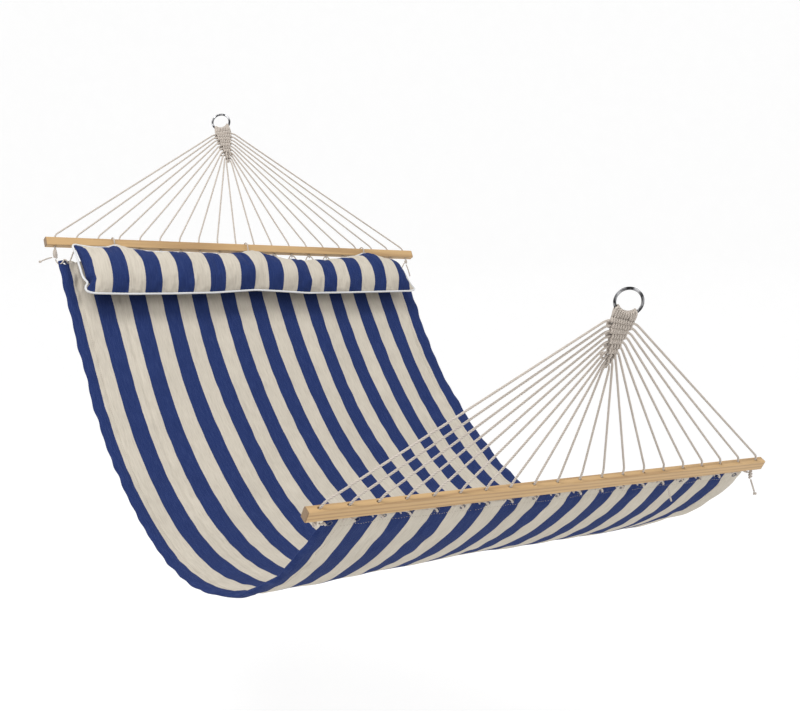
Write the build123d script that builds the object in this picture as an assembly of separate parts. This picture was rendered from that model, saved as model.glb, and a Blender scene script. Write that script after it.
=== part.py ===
"""Quilted two-person hammock with two wooden spreader bars, hung from two steel rings.

Millimetres. The origin is the centre of the head ring. +X runs from head to foot,
+Y along the bars and +Z up. Nothing stands on the floor: hooks hold the two rings.
"""
from build123d import *
from math import cos, degrees, pi, radians, sin, tan
import os

# Driving dimensions
RING_OUTSIDE = 68.0
RING_WIRE = 7.0
RING_TURN = 34.0             # degrees that each ring is turned about its clew's line
HEAD_CLEW = 503.6            # ring centre to bar centre
HEAD_CLEW_LEAN = 22.6        # degrees from the vertical
FOOT_CLEW = 467.0
FOOT_CLEW_LEAN = 24.6
BAR_SPACING = 1627.8         # head bar to foot bar, along X
BAR_DROP = 624.0             # the foot bar hangs this much lower
BAR_LENGTH = 1400.0
BAR_WIDTH = 21.0
BAR_DEPTH = 28.0             # along the holes
BAR_EDGE = 2.5               # rounding of the long edges
HEAD_BAR_LEAN = 25.0
FOOT_BAR_LEAN = 34.0
HOLE_COUNT = 20
HOLE_PITCH = 70.6
HOLE_DIAMETER = 8.0
CORD = 6.0
MOUTH = 8.0                  # a clew cord turns into its hole this far above the bar
LACING = 5.0
BED_WIDTH = 1330.0
CLOTH = 1.0
WADDING = 8.0
HEAD_GAP = 45.0              # bar to hem
FOOT_GAP = 13.0
HEM_INSET = 12.0             # hem edge to eyelet
EYELET_DIAMETER = 10.5
CORNER_TAPER = 18.0          # the hem is this much narrower at each side
TAPER_LENGTH = 120.0
WEAVE_FIRST_ROW = 46.0       # ring centre to the first woven row
WEAVE_PITCH = 12.0
WEAVE_ROWS = 10
WEAVE_WIDTH = 60.0
WEAVE_TIP_WIDTH = 10.0
WEAVE_THICKNESS = 15.0
SEAM_RADIUS = 40.4           # loops turn with the ring inside this ball, the weave outside it
PILLOW_LENGTH = 1228.0
PILLOW_HEIGHT = 155.0
PILLOW_THICKNESS = 104.0
PILLOW_SHIFT = -6.0          # the pillow sits off centre along Y
PILLOW_CENTRE = (294.0, -554.5)
PILLOW_LEAN = 34.0
PILLOW_COVER = 1.5
PILLOW_ROUND = 26.0
PIPING = 8.0
TIE = 5.0
TIE_RADIUS = 21.5            # of the tie round the bar
TIE_PLACES = (-478.0, 0.0, 478.0)

ALONG_BAR = Vector(0, 1, 0)


def slanted(lean, towards):
    """Unit vector that points down, leaning by lean degrees to -X or +X."""
    return Vector(towards * sin(radians(lean)), 0, -cos(radians(lean)))


HEAD_PULL = slanted(HEAD_CLEW_LEAN, 1)
FOOT_PULL = slanted(FOOT_CLEW_LEAN, -1)
HEAD_DOWN = slanted(HEAD_BAR_LEAN, 1)
FOOT_DOWN = slanted(FOOT_BAR_LEAN, -1)
HEAD_RING = Vector(0, 0, 0)
HEAD_BAR = HEAD_RING + HEAD_PULL * HEAD_CLEW
FOOT_BAR = HEAD_BAR + Vector(BAR_SPACING, 0, -BAR_DROP)
FOOT_RING = FOOT_BAR - FOOT_PULL * FOOT_CLEW


def across(direction):
    """Unit vector square to a direction in the XZ plane, on its +X side when it points down."""
    return Vector(-direction.Z, 0, direction.X)


def hole_y(number):
    """Place along the bar of hole 1 to 20."""
    return (number - (HOLE_COUNT + 1) / 2) * HOLE_PITCH


# The bed hangs between the bars on a cubic curve. At the head its cloth lies behind the lacing,
# and at the foot above it, so each end is set off its bar's own line.
HEM_OFFSET = CLOTH + WADDING / 2 + LACING / 2 + 1.0
HEM_HEAD = HEAD_BAR + HEAD_DOWN * (BAR_DEPTH / 2 + HEAD_GAP) - across(HEAD_DOWN) * HEM_OFFSET
HEM_FOOT = FOOT_BAR + FOOT_DOWN * (BAR_DEPTH / 2 + FOOT_GAP) - across(FOOT_DOWN) * HEM_OFFSET
BED_CURVE = (HEM_HEAD, Vector(605, 0, -1370), Vector(1334, 0, -1582.5), HEM_FOOT)
BED_STEPS = 28


def bed_point(t):
    """Point on the middle of the wadding, t from 0 at the head to 1 at the foot."""
    a, b, c, d = BED_CURVE
    s = 1 - t
    return a * s**3 + b * (3 * s * s * t) + c * (3 * s * t * t) + d * t**3


def bed_along(t):
    """Unit tangent of the bed, from head to foot."""
    a, b, c, d = BED_CURVE
    s = 1 - t
    slope = (b - a) * (s * s) + (c - b) * (2 * s * t) + (d - c) * (t * t)
    return slope.normalized()


def bed_under(t):
    """Unit normal of the bed on its underside."""
    along = bed_along(t)
    return Vector(along.Z, 0, -along.X)


def bed_offset(amount):
    """Points of the bed's curve, moved towards the underside."""
    steps = [i / BED_STEPS for i in range(BED_STEPS + 1)]
    return [bed_point(t) + bed_under(t) * amount for t in steps]


def tube(points, diameter, largest=60.0):
    """Round tube along straight runs and tangent arcs."""
    corners = [Vector(*p) for p in points]
    radii = []
    for before, here, after in zip(corners, corners[1:], corners[2:]):
        turn = radians((here - before).get_angle(after - here))
        shorter = min((here - before).length, (after - here).length)
        radii.append(min(largest, 0.45 * shorter / tan(turn / 2)))
    if radii:
        path = FilletPolyline(*corners, radius=radii)
    else:
        path = Line(*corners)
    section = Plane(origin=path @ 0, z_dir=path % 0) * Circle(diameter / 2)
    solid = sweep(section, path=path)
    ideal = pi * diameter**2 / 4 * path.length
    if abs(solid.volume / ideal - 1) > 0.02:
        print("tube volume off by", round(solid.volume / ideal - 1, 3))
    if radii:
        print("tube", round(path.length), "mm, tightest radius", round(min(radii), 1))
    return solid


def ring_plane(ring, pull, turn=0.0):
    """Local x along the bar or turned from it towards +X, local y down the clew."""
    out = ALONG_BAR.cross(pull)
    sideways = ALONG_BAR * cos(radians(turn)) - out * sin(radians(turn))
    return Plane(origin=ring, x_dir=sideways, z_dir=sideways.cross(pull))


def ring(centre, pull):
    return ring_plane(centre, pull, RING_TURN) * Torus((RING_OUTSIDE - RING_WIRE) / 2, RING_WIRE / 2)


def ring_loops(centre, pull):
    """Ten turns of cord round the lower half of the ring's wire."""
    wire_radius = (RING_OUTSIDE - RING_WIRE) / 2
    turn_radius = RING_WIRE / 2 + CORD / 2 + 0.1
    inner = wire_radius - turn_radius
    step = degrees(CORD / inner) * 1.02
    loops = []
    for i in range(WEAVE_ROWS):
        angle = (i - (WEAVE_ROWS - 1) / 2) * step
        spot = Location((wire_radius * sin(radians(angle)), wire_radius * cos(radians(angle)), 0))
        loops.append(spot * Rot(0, 0, -angle) * Rot(0, 90, 0) * Torus(turn_radius, CORD / 2))
    plane = ring_plane(centre, pull, RING_TURN)
    return Compound([plane.location * loop for loop in loops])


def weave_half_width(down):
    """Half width of the weave at a distance down from the ring centre."""
    last = WEAVE_FIRST_ROW + (WEAVE_ROWS - 1) * WEAVE_PITCH
    share = (down - RING_OUTSIDE / 2) / (last - RING_OUTSIDE / 2)
    return (WEAVE_WIDTH + (WEAVE_TIP_WIDTH - WEAVE_WIDTH) * share) / 2


def weave(centre, pull):
    """Tapering woven band, hollowed at the top to the ball that the ring's loops turn in."""
    top = RING_OUTSIDE / 2 - 8
    tip = WEAVE_FIRST_ROW + (WEAVE_ROWS - 0.5) * WEAVE_PITCH
    outline = Polyline(
        (-WEAVE_WIDTH / 2, top), (-weave_half_width(tip), tip),
        (weave_half_width(tip), tip), (WEAVE_WIDTH / 2, top), close=True,
    )
    band = extrude(make_face(outline), amount=WEAVE_THICKNESS / 2, both=True)
    band = fillet(band.edges().filter_by(Axis.Z), 2.5) - Sphere(SEAM_RADIUS)
    return ring_plane(centre, pull) * band


def clew_leg(ring_centre, pull, bar, down, row, side):
    """One straight leg, from the side of the weave to just under its hole in the bar."""
    hole = row if side < 0 else HOLE_COUNT + 1 - row
    from_ring = WEAVE_FIRST_ROW + (row - 1) * WEAVE_PITCH
    start = ring_centre + pull * from_ring + ALONG_BAR * (side * (weave_half_width(from_ring) + 4))
    spot = bar + ALONG_BAR * hole_y(hole)
    mouth = spot - down * (BAR_DEPTH / 2 + MOUTH)
    below = spot + down * (BAR_DEPTH / 2 + 4)
    return tube([start, mouth, below], CORD, largest=8)


def clew_cord(ring_centre, pull, bar, down, row):
    return Compound([clew_leg(ring_centre, pull, bar, down, row, side) for side in (-1, 1)])


def bar_plane(centre, down):
    """Bar plane: local x along the bar, local z up its holes."""
    return Plane(origin=centre, x_dir=ALONG_BAR, z_dir=-down)


def spreader_bar(centre, down):
    body = Box(BAR_LENGTH, BAR_WIDTH, BAR_DEPTH)
    body = fillet(body.edges().filter_by(Axis.X), BAR_EDGE)
    ends = body.faces().filter_by(Axis.X)
    body = chamfer(ends.edges(), 1.0)
    for number in range(1, HOLE_COUNT + 1):
        body -= Pos(hole_y(number), 0, 0) * Cylinder(HOLE_DIAMETER / 2, BAR_DEPTH + 2)
    return bar_plane(centre, down) * body


def eyelet_y(number):
    """Eyelet 1 to 19, midway between two holes of the bar."""
    return (hole_y(number) + hole_y(number + 1)) / 2


def hem_frame(end):
    """Hem edge, direction into the bed and underside normal of an end, 0 head or 1 foot."""
    into = bed_along(0) if end == 0 else -bed_along(1)
    return bed_point(end), into, bed_under(end)


def hem_cutters(end):
    """Eyelets through the hem and the two tapered corners."""
    edge, into, under = hem_frame(end)
    plane = Plane(origin=edge, x_dir=ALONG_BAR, z_dir=under)
    inward = 1 if plane.to_local_coords(edge + into).Y > 0 else -1
    tall = 4 * (WADDING + 2 * CLOTH)
    cutters = []
    for number in range(1, HOLE_COUNT):
        spot = Pos(eyelet_y(number), inward * HEM_INSET, 0)
        cutters.append(plane * (spot * Cylinder(EYELET_DIAMETER / 2, tall)))
    side = BED_WIDTH / 2
    for hand in (-1, 1):
        wedge = Polyline(
            (hand * (side - CORNER_TAPER), -inward * 1.0), (hand * side, inward * TAPER_LENGTH),
            (hand * (side + 30), inward * TAPER_LENGTH), (hand * (side + 30), -inward * 1.0),
            close=True,
        )
        cutters.append(plane * extrude(make_face(wedge), amount=3 * tall, both=True))
    return cutters


def bed_layer(low, high, cutters):
    """One layer of the quilt between two offsets from the middle of the wadding."""
    upper = [(p.X, p.Z) for p in bed_offset(low)]
    lower = [(p.X, p.Z) for p in bed_offset(high)]
    outline = [Spline(*upper), Line(upper[-1], lower[-1]), Spline(*lower[::-1]), Line(lower[0], upper[0])]
    face = make_face(outline)
    layer = extrude(Plane.XZ * face, amount=BED_WIDTH / 2, both=True)
    for cutter in cutters:
        layer -= cutter
    return layer


def lacing_turn(end, number, bar, down, first, last):
    """The lacing from one hole's loop, through an eyelet of the hem and up to the next hole's.

    first and last are the points that it comes from and goes to, as lists."""
    edge, into, under = hem_frame(end)
    front = -1 if end == 0 else 1
    clear = CLOTH + WADDING / 2 + LACING / 2 + 1.5
    across_hem = Vector(0, eyelet_y(number), 0)
    lip = edge - into * 2 + across_hem
    eyelet = edge + into * HEM_INSET + across_hem
    middle = [
        lip + under * (front * clear) - ALONG_BAR * 12,
        eyelet + under * (front * (clear + 1)) - ALONG_BAR * 1.0,
        eyelet - under * (front * (clear + 1)) + ALONG_BAR * 1.0,
        lip - under * (front * clear) + ALONG_BAR * 12,
    ]
    return tube(first + middle + last, LACING, largest=8)


def lacing(end, bar, down, left_end, right_end):
    """Lacing cord between a bar and its hem, and on to the knots under the outer holes."""
    drop = BAR_DEPTH / 2 + 4 + LACING / 2 + 0.4
    turns = []
    for number in range(1, HOLE_COUNT):
        apex = bar + down * drop + ALONG_BAR * hole_y(number)
        following = bar + down * drop + ALONG_BAR * hole_y(number + 1)
        first = [apex, apex + ALONG_BAR * 9]
        last = [following - ALONG_BAR * 9, following]
        if number == 1:
            first = left_end
        if number == HOLE_COUNT - 1:
            last = right_end
        turns.append(lacing_turn(end, number, bar, down, first, last))
    return Compound(turns)


def under_hole(bar, down, number):
    """Where a clew cord ends, just under its hole."""
    return bar + down * (BAR_DEPTH / 2 + 4) + ALONG_BAR * hole_y(number)


def knot(centre, height, radius=7.0, tilt=0.0):
    """Stopper knot, drawn up to a rounded barrel."""
    barrel = fillet(Cylinder(radius, height).edges(), radius * 0.6)
    return Location(centre) * Rot(tilt, 0, 0) * barrel


def pillow_plane():
    """Local x along the bar, local y up the pillow, local z out of the bed."""
    up = -slanted(PILLOW_LEAN, 1)
    centre = Vector(PILLOW_CENTRE[0], PILLOW_SHIFT, PILLOW_CENTRE[1])
    return Plane(origin=centre, x_dir=ALONG_BAR, z_dir=ALONG_BAR.cross(up))


def pillow_pad(shrink):
    """Pillow with every face moved in by shrink."""
    section = Ellipse(PILLOW_HEIGHT / 2 - shrink, PILLOW_THICKNESS / 2 - shrink)
    pad = extrude(section, amount=PILLOW_LENGTH / 2 - shrink, both=True)
    pad = fillet(pad.edges().filter_by(GeomType.ELLIPSE), PILLOW_ROUND - shrink)
    return pillow_plane() * (Rot(0, 90, 0) * (Rot(0, 0, 90) * pad))


def pillow_piping():
    """Piping round the seam, just outside the cover."""
    grow = PIPING / 2 + 0.3
    long_side = PILLOW_LENGTH + 2 * grow
    short_side = PILLOW_HEIGHT + 2 * grow
    path = pillow_plane() * RectangleRounded(long_side, short_side, 18).wire()
    return sweep(Plane(origin=path @ 0, z_dir=path % 0) * Circle(PIPING / 2), path=path)


def pillow_tie(place):
    """Cord tied round the head bar, with a short strand down to the pillow's seam."""
    loop = Plane(origin=HEAD_BAR + ALONG_BAR * place, z_dir=ALONG_BAR) * Torus(TIE_RADIUS, TIE / 2)
    plane = pillow_plane()
    seam = plane.from_local_coords(Vector(place - PILLOW_SHIFT, PILLOW_HEIGHT / 2 + PIPING + 2.8, 0))
    centre = HEAD_BAR + ALONG_BAR * place
    start = centre + (seam - centre).normalized() * TIE_RADIUS
    strand = Solid.make_cylinder(TIE / 2, (seam - start).length, Plane(start, z_dir=seam - start))
    return loop + strand


def main():
    os.makedirs("parts", exist_ok=True)
    parts = {}
    ends = {
        "head": (0, HEAD_RING, HEAD_PULL, HEAD_BAR, HEAD_DOWN),
        "foot": (1, FOOT_RING, FOOT_PULL, FOOT_BAR, FOOT_DOWN),
    }
    for name, (end, ring_centre, pull, bar, down) in ends.items():
        parts[f"{name}_ring"] = ring(ring_centre, pull)
        parts[f"{name}_ring_loops"] = ring_loops(ring_centre, pull)
        parts[f"{name}_clew_weave"] = weave(ring_centre, pull)
        for row in range(1, WEAVE_ROWS + 1):
            parts[f"{name}_clew_cord_{row:02d}"] = clew_cord(ring_centre, pull, bar, down, row)
        parts[f"{name}_spreader_bar"] = spreader_bar(bar, down)

    half = WADDING / 2
    cutters = hem_cutters(0) + hem_cutters(1)
    parts["bed_top_cloth"] = bed_layer(-half - CLOTH, -half, cutters)
    parts["bed_wadding"] = bed_layer(-half, half, cutters)
    parts["bed_under_cloth"] = bed_layer(half, half + CLOTH, cutters)

    # Knots under the outer holes, with the lacing's ends and the free tails beside them.
    head_left = under_hole(HEAD_BAR, HEAD_DOWN, 1)
    head_right = under_hole(HEAD_BAR, HEAD_DOWN, HOLE_COUNT)
    foot_left = under_hole(FOOT_BAR, FOOT_DOWN, 1)
    foot_right = under_hole(FOOT_BAR, FOOT_DOWN, HOLE_COUNT)
    parts["head_lacing"] = lacing(
        0, HEAD_BAR, HEAD_DOWN,
        [head_left + Vector(0, 1, -38), head_left + Vector(6, 6, -55), head_left + Vector(23, 15, -51)],
        [head_right + Vector(6, -16, -24), head_right + Vector(2, -8, -16)],
    )
    parts["foot_lacing"] = lacing(
        1, FOOT_BAR, FOOT_DOWN,
        [foot_left + Vector(0, 9, -8), foot_left + Vector(4, 16, -12)],
        [foot_right + Vector(-6, -16, -8), foot_right + Vector(0, -9, -8)],
    )
    knots = [
        knot(head_left + Vector(0, 0, -20), 34),
        knot(head_right + Vector(0, 0, -11), 15, radius=6.5),
        knot(foot_left + Vector(0, 0, -9), 13, radius=6.5),
        knot(foot_right + Vector(0, 0, -15), 24, radius=6.5),
        Location(head_left + Vector(2, -47.5, -46.5)) * Sphere(4.5),
        Location(foot_right + Vector(2, 16, -67)) * Sphere(4.5),
    ]
    parts["stopper_knots"] = Compound(knots)
    tails = {
        "head_left_tail": [head_left + p for p in (
            Vector(0, -9.5, -32), Vector(1, -26, -36), Vector(2, -43, -44))],
        "head_right_tail": [head_right + p for p in (
            Vector(0, 2, -21), Vector(2, 12, -43), Vector(4, 17, -66))],
        "foot_right_tail": [foot_right + p for p in (
            Vector(0, 1, -28), Vector(1, 8, -45), Vector(2, 14.5, -62.5))],
        "foot_middle_tail": [under_hole(FOOT_BAR, FOOT_DOWN, 15) + p for p in (
            Vector(22, 13, -18), Vector(23, 15, -36), Vector(25, 21, -53))],
    }
    for name, points in tails.items():
        parts[name] = tube(points, LACING)

    outer = pillow_pad(0)
    parts["pillow_cover"] = outer - pillow_pad(PILLOW_COVER)
    parts["pillow_filling"] = pillow_pad(PILLOW_COVER + 0.2)
    parts["pillow_piping"] = pillow_piping()
    for number, place in enumerate(TIE_PLACES, 1):
        parts[f"pillow_tie_{number}"] = pillow_tie(place)

    for name, shape in parts.items():
        export_step(shape, f"parts/{name}.step")
    print(len(parts), "parts")


main()
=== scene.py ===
"""Looks of a quilted two-person hammock with two wooden spreader bars, hung from two steel rings.

Metres. The origin is the centre of the head ring, +X runs from head to foot, +Y along the bars
and +Z up.
"""
import bmesh
import bpy
import math
import numpy as np
from mathutils import Matrix, Vector


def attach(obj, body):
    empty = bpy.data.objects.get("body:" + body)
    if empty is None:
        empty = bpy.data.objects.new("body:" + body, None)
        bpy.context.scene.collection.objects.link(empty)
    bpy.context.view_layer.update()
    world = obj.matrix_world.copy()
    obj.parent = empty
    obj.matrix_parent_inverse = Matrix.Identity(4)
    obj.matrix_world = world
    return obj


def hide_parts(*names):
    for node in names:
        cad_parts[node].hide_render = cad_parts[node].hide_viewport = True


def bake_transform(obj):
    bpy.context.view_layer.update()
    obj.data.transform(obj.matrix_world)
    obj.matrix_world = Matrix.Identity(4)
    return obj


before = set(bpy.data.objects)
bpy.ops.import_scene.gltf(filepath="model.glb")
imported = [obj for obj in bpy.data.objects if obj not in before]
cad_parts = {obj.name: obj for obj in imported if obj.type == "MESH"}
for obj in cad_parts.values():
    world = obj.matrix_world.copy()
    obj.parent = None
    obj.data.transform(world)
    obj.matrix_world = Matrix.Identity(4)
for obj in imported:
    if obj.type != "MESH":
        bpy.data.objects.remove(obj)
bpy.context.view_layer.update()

# ---------------------------------------------------------------- sizes, as in the part's source
RING_WIRE_CENTRE = 0.0305     # from the middle of a ring to the middle of its wire
BAR_DEPTH = 0.028
BAR_HALF = 0.700
HOLE_PITCH = 0.0706
HOLES = 20
CORD = 0.006                  # clew cords
LACING = 0.005                # lacing and tails
TIE = 0.0045                  # pillow ties
MOUTH = 0.008                 # how far a clew cord runs straight out of its hole
UNDER_HOLE = BAR_DEPTH / 2 + 0.004
ROW_START = 0.046             # the weave's first row, from the middle of the ring
ROW_PITCH = 0.012
ROWS = 10
STRIPE = 0.0532               # width of one stripe of the cloth
Y = Vector((0, 1, 0))


def slanted(lean, towards):
    """Unit vector that points down and leans to -X or +X, in degrees."""
    return Vector((towards * math.sin(math.radians(lean)), 0, -math.cos(math.radians(lean))))


def square_to(direction):
    return Vector((-direction.z, 0, direction.x))


HEAD_PULL, FOOT_PULL = slanted(22.6, 1), slanted(24.6, -1)
HEAD_DOWN, FOOT_DOWN = slanted(25.0, 1), slanted(34.0, -1)
HEAD_RING = Vector((0, 0, 0))
HEAD_BAR = HEAD_RING + HEAD_PULL * 0.5036
FOOT_BAR = HEAD_BAR + Vector((1.6278, 0, -0.624))
FOOT_RING = FOOT_BAR - FOOT_PULL * 0.467
HEM_HEAD = HEAD_BAR + HEAD_DOWN * 0.059 - square_to(HEAD_DOWN) * 0.0085
HEM_FOOT = FOOT_BAR + FOOT_DOWN * 0.027 - square_to(FOOT_DOWN) * 0.0085
SAG = (HEM_HEAD, Vector((0.605, 0, -1.370)), Vector((1.334, 0, -1.5825)), HEM_FOOT)


def hole_y(number):
    return (number - (HOLES + 1) / 2) * HOLE_PITCH


def eyelet_y(number):
    return (number - HOLES / 2) * HOLE_PITCH


# ---------------------------------------------------------------- meshes
class Shape:
    """Points and faces gathered for one piece, with cloth places in metres."""

    def __init__(self):
        self.points, self.faces, self.places = [], [], []

    def grid(self, points, across, along, around=False, skip=None, flip=False):
        """Rows and columns of points. across and along are the places of columns and rows."""
        rows, columns = points.shape[:2]
        first = len(self.points)
        self.points.extend(points.reshape(-1, 3).tolist())
        for r in range(rows - 1):
            for c in range(columns if around else columns - 1):
                if skip is not None and skip[r, c]:
                    continue
                d = (c + 1) % columns
                face = [first + r * columns + c, first + r * columns + d,
                        first + (r + 1) * columns + d, first + (r + 1) * columns + c]
                place = [(across[c], along[r]), (across[c + 1], along[r]),
                         (across[c + 1], along[r + 1]), (across[c], along[r + 1])]
                if flip:
                    face.reverse()
                    place.reverse()
                self.faces.append(face)
                self.places.append(place)
        return first

    def face(self, corners, places=None):
        self.faces.append(list(corners))
        self.places.append(places or [(0.0, 0.0)] * len(corners))

    def make(self, name, finish):
        mesh = bpy.data.meshes.new(name)
        mesh.from_pydata(self.points, [], self.faces)
        layer = mesh.uv_layers.new(name="cloth")
        flat = [value for face in self.places for place in face for value in place]
        layer.data.foreach_set("uv", np.array(flat, np.float32))
        mesh.polygons.foreach_set("use_smooth", [True] * len(mesh.polygons))
        mesh.materials.append(finish)
        thing = bpy.data.objects.new(name, mesh)
        bpy.context.scene.collection.objects.link(thing)
        return thing


STRANDS = 3
ROPE_END = 0.55               # share of its thickness at which a rope's end is cut


def smooth_line(points, fineness=16):
    """Points of the NURBS line that a route's points steer."""
    curve = bpy.data.curves.new("route", "CURVE")
    curve.dimensions = "3D"
    curve.resolution_u = fineness
    spline = curve.splines.new("NURBS")
    spline.points.add(len(points) - 1)
    for knot, point in zip(spline.points, points):
        knot.co = (*point, 1.0)
    spline.order_u = 3
    spline.use_endpoint_u = True
    carrier = bpy.data.objects.new("route", curve)
    mesh = bpy.data.meshes.new_from_object(carrier)
    line = np.array([v.co for v in mesh.vertices])
    bpy.data.objects.remove(carrier)
    bpy.data.curves.remove(curve)
    bpy.data.meshes.remove(mesh)
    return line


def evenly(line, step):
    """The same line at even steps, and the distance along it."""
    runs = np.linalg.norm(np.diff(line, axis=0), axis=1)
    keep = np.concatenate([[True], runs > 1e-7])
    line = line[keep]
    far = np.concatenate([[0.0], np.cumsum(np.linalg.norm(np.diff(line, axis=0), axis=1))])
    count = max(4, int(round(far[-1] / step)))
    at = np.linspace(0, far[-1], count + 1)
    return np.stack([np.interp(at, far, line[:, k]) for k in range(3)], 1), at


def carried_frames(line):
    """Two side directions at each point, carried along without twist."""
    ahead = np.gradient(line, axis=0)
    ahead /= np.linalg.norm(ahead, axis=1)[:, None]
    side = np.cross(ahead[0], (0.31, 0.87, 0.38))
    sides = []
    for direction in ahead:
        side = side - direction * (side @ direction)
        side = side / np.linalg.norm(side)
        sides.append(side)
    sides = np.array(sides)
    return sides, np.cross(ahead, sides)


def rope(shape, points, diameter, lay, step, corners=12, depth=None):
    """Three-strand rope along a route's smooth line. Returns the line's points.

    lay is the length of one twist. depth, where given, turns the line into the places along the
    rope's cloth map, which otherwise are distances along the rope.
    """
    line, at = evenly(smooth_line(points), step)
    side, other = carried_frames(line)
    turn = np.arange(corners) * 2 * math.pi / corners
    lobes = 0.80 + 0.20 * np.abs(np.cos(turn * STRANDS / 2))
    spin = turn[None, :] + at[:, None] * 2 * math.pi / lay
    reach = np.full(len(line), diameter / 2)
    reach[[0, -1]] *= ROPE_END
    ring = lobes[None, :] * reach[:, None]
    net = (line[:, None, :] + side[:, None, :] * (np.cos(spin) * ring)[..., None]
           + other[:, None, :] * (np.sin(spin) * ring)[..., None])
    places = at if depth is None else depth(line)
    start = shape.grid(net, np.arange(corners + 1) / corners, places, around=True)
    last = start + (len(line) - 1) * corners
    shape.face(range(start, start + corners)[::-1])
    shape.face(range(last, last + corners))
    return line


def tube(shape, line, at, radius, corners):
    """Round cord along a line, closed at both ends."""
    side, other = carried_frames(line)
    turn = np.arange(corners) * 2 * math.pi / corners
    net = (line[:, None, :] + side[:, None, :] * (np.cos(turn)[None, :] * radius[:, None])[..., None]
           + other[:, None, :] * (np.sin(turn)[None, :] * radius[:, None])[..., None])
    start = shape.grid(net, np.arange(corners + 1) / corners, at, around=True)
    last = start + (len(line) - 1) * corners
    shape.face(range(start, start + corners)[::-1])
    shape.face(range(last, last + corners))


def face_outward(thing):
    """Drop points without a face, and turn every face of a closed piece outward."""
    work = bmesh.new()
    work.from_mesh(thing.data)
    bmesh.ops.delete(work, geom=[v for v in work.verts if not v.link_faces], context="VERTS")
    bmesh.ops.recalc_face_normals(work, faces=work.faces)
    work.to_mesh(thing.data)
    work.free()


def ride(thing, body, slot, *nodes):
    """Set a piece's body, and hide the nodes that it stands for. Its slot is not used."""
    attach(thing, body)
    if nodes:
        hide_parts(*nodes)
    return thing


def declare(name, points, diameter, node, body="hammock", twist=0.016,
            step=0.0018):
    """One limp cord as a rope, riding its body in place of its node."""
    shape = Shape()
    line = rope(shape, points, diameter, twist, step)
    thing = ride(shape.make(name, CORD_YARN), body, "natural_cord", node)
    length = float(np.linalg.norm(np.diff(line, axis=0), axis=1).sum())


# ---------------------------------------------------------------- finishes
class Value:
    """A socket in a finish. Sums on it add the Math nodes that work them out."""

    def __init__(self, finish, socket):
        self.finish, self.socket = finish, socket

    def sum(self, operation, first, second=0.0, clamp=False):
        settings = {"operation": operation, "use_clamp": clamp}
        return self.finish.node("ShaderNodeMath", settings, {0: first, 1: second})

    def __add__(self, other):
        return self.sum("ADD", self, other)

    def __radd__(self, other):
        return self.sum("ADD", other, self)

    def __sub__(self, other):
        return self.sum("SUBTRACT", self, other)

    def __rsub__(self, other):
        return self.sum("SUBTRACT", other, self)

    def __mul__(self, other):
        return self.sum("MULTIPLY", self, other)

    def __rmul__(self, other):
        return self.sum("MULTIPLY", other, self)

    def __pow__(self, other):
        return self.sum("POWER", self, other)

    def __abs__(self):
        return self.sum("ABSOLUTE", self)

    def sine(self):
        return self.sum("SINE", self)

    def cosine(self):
        return self.sum("COSINE", self)

    def clamped(self):
        return self.sum("ADD", self, 0.0, clamp=True)


class Finish:
    """One material, built round a Principled shader."""

    def __init__(self, name, **constants):
        self.material = bpy.data.materials.new(name)
        self.material.use_nodes = True
        self.tree = self.material.node_tree
        self.tree.nodes.clear()
        output = self.tree.nodes.new("ShaderNodeOutputMaterial")
        self.shader = self.tree.nodes.new("ShaderNodeBsdfPrincipled")
        self.tree.links.new(self.shader.outputs[0], output.inputs[0])
        for socket, value in constants.items():
            self.shader.inputs[socket.replace("_", " ")].default_value = value

    def join(self, socket, value):
        if isinstance(value, Value):
            self.tree.links.new(value.socket, socket)
        else:
            socket.default_value = value

    def node(self, kind, settings=None, values=None, out=0):
        made = self.tree.nodes.new(kind)
        for key, value in (settings or {}).items():
            if key == "stops":
                ramp = made.color_ramp
                while len(ramp.elements) < len(value):
                    ramp.elements.new(0.5)
                for element, (where, colour) in zip(ramp.elements, value):
                    element.position, element.color = where, (*colour, 1.0)
            else:
                setattr(made, key, value)
        for key, value in (values or {}).items():
            self.join(made.inputs[key], value)
        return Value(self, made.outputs[out])

    def cloth_place(self):
        """Distances across and along the cloth or the cord, and the two as a vector."""
        place = self.node("ShaderNodeUVMap", {"uv_map": "cloth"})
        across, along, _ = self.apart(place)
        return across, along, place

    def solid_place(self, scale=(1.0, 1.0, 1.0)):
        return self.stretched(self.node("ShaderNodeTexCoord", out="Object"), scale)

    def apart(self, place):
        """The three numbers of a vector."""
        parts = self.tree.nodes.new("ShaderNodeSeparateXYZ")
        self.join(parts.inputs[0], place)
        return [Value(self, parts.outputs[k]) for k in range(3)]

    def stretched(self, place, scale):
        return self.node("ShaderNodeVectorMath", {"operation": "MULTIPLY"}, {0: place, 1: scale})

    def noise(self, place, scale, detail=2.0, roughness=0.5):
        values = {"Vector": place, "Scale": scale, "Detail": detail, "Roughness": roughness}
        return self.node("ShaderNodeTexNoise", None, values)

    def mix(self, factor, first, second, kind="MIX"):
        settings = {"data_type": "RGBA", "blend_type": kind}
        return self.node("ShaderNodeMix", settings, {0: factor, 6: first, 7: second}, out=2)

    def bump(self, height, distance, strength=1.0, under=None):
        values = {"Height": height, "Distance": distance, "Strength": strength}
        if under is not None:
            values["Normal"] = under
        return self.node("ShaderNodeBump", None, values)

    def give(self, **links):
        for socket, value in links.items():
            self.join(self.shader.inputs[socket.replace("_", " ")], value)
        return self.material


YARN = 0.0013                 # pitch of the cloth's yarns
LIGHTER, DARKER = (1.10, 1.10, 1.10, 1.0), (0.88, 0.88, 0.88, 1.0)
NAVY = (0.0125, 0.026, 0.104, 1.0)
NAVY_FLECK = (0.053, 0.079, 0.210, 1.0)
CREAM = (0.555, 0.508, 0.432, 1.0)
CREAM_FLECK = (0.415, 0.370, 0.305, 1.0)


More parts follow.
